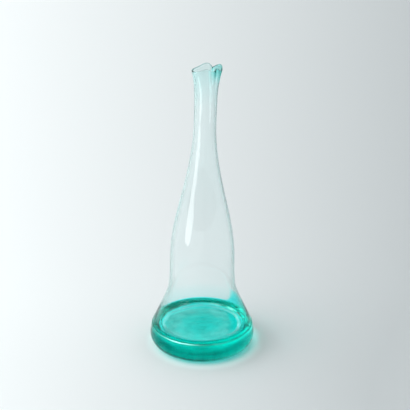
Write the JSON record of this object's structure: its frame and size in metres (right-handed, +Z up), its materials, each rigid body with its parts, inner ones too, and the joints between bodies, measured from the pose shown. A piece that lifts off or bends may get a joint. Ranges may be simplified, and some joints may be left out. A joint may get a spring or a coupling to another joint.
{
  "type": "glass vase",
  "caption": "Hand-blown glass vase: thin pale body with a drawn neck and pinched wavy mouth, fused to a thick deep teal base.",
  "frame": {"origin": "centre of the foot, on the surface that the vase stands on", "axes": "+Z up through the base and the mouth; +X towards the small spout-like lobe of the mouth, the way the neck leans; the picture looks along +Y"},
  "size_m": [0.1098, 0.1098, 0.3059],
  "materials": {
    "pale_glass": "clear blown glass with a faint sea-green tint, fire-polished",
    "teal_glass": "the same clear glass, deep teal where it is thick, fire-polished"
  },
  "bodies": {
    "root": {"blown_body": "pale_glass", "heavy_base": "teal_glass"}
  },
  "joints": []
}
